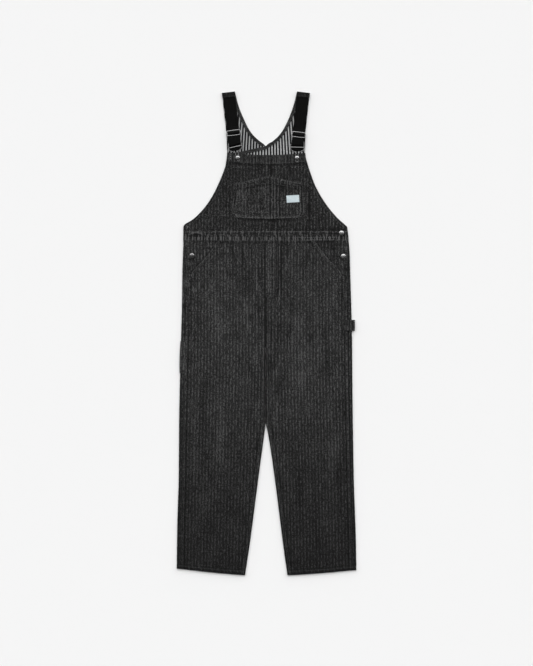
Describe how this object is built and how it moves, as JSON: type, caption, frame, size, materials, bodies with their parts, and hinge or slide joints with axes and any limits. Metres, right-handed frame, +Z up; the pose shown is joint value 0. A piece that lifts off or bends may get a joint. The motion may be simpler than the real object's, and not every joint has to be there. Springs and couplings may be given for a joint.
{
  "type": "dungarees",
  "caption": "Denim bib dungarees laid flat, front up: full-length legs, slanted pockets, chest pocket, crossed back, elastic straps hooked on the bib by wire buckles.",
  "frame": {"origin": "on the floor under the middle of the flattened garment's outline", "axes": "+X towards the wearer's left, +Y from the hems to the shoulders, +Z up from the floor out of the garment's front"},
  "size_m": [0.5391, 1.4498, 0.0116],
  "materials": {
    "denim": "matt twill with a faint broken pinstripe",
    "webbing": "woven elastic",
    "wire": "bright nickel",
    "label": "smooth woven patch"
  },
  "bodies": {
    "root": {"right_back_leg": "denim", "left_back_leg": "denim", "right_front_leg": "denim", "left_front_leg": "denim", "right_pocket_facing": "denim", "left_pocket_facing": "denim", "right_back_bib": "denim", "left_back_bib": "denim", "right_neck_facing": "denim", "left_neck_facing": "denim", "waistband": "denim", "bib": "denim", "chest_pocket": "denim", "label": "label", "right_webbing": "webbing", "left_webbing": "webbing", "right_slider": "wire", "left_slider": "wire", "right_buckle": "wire", "left_buckle": "wire", "button_bib_right": "wire", "button_bib_left": "wire", "button_side_right": "wire", "button_side_left_upper": "wire", "button_side_left_lower": "wire", "rule_pocket": "denim", "hammer_loop": "denim"}
  },
  "joints": []
}
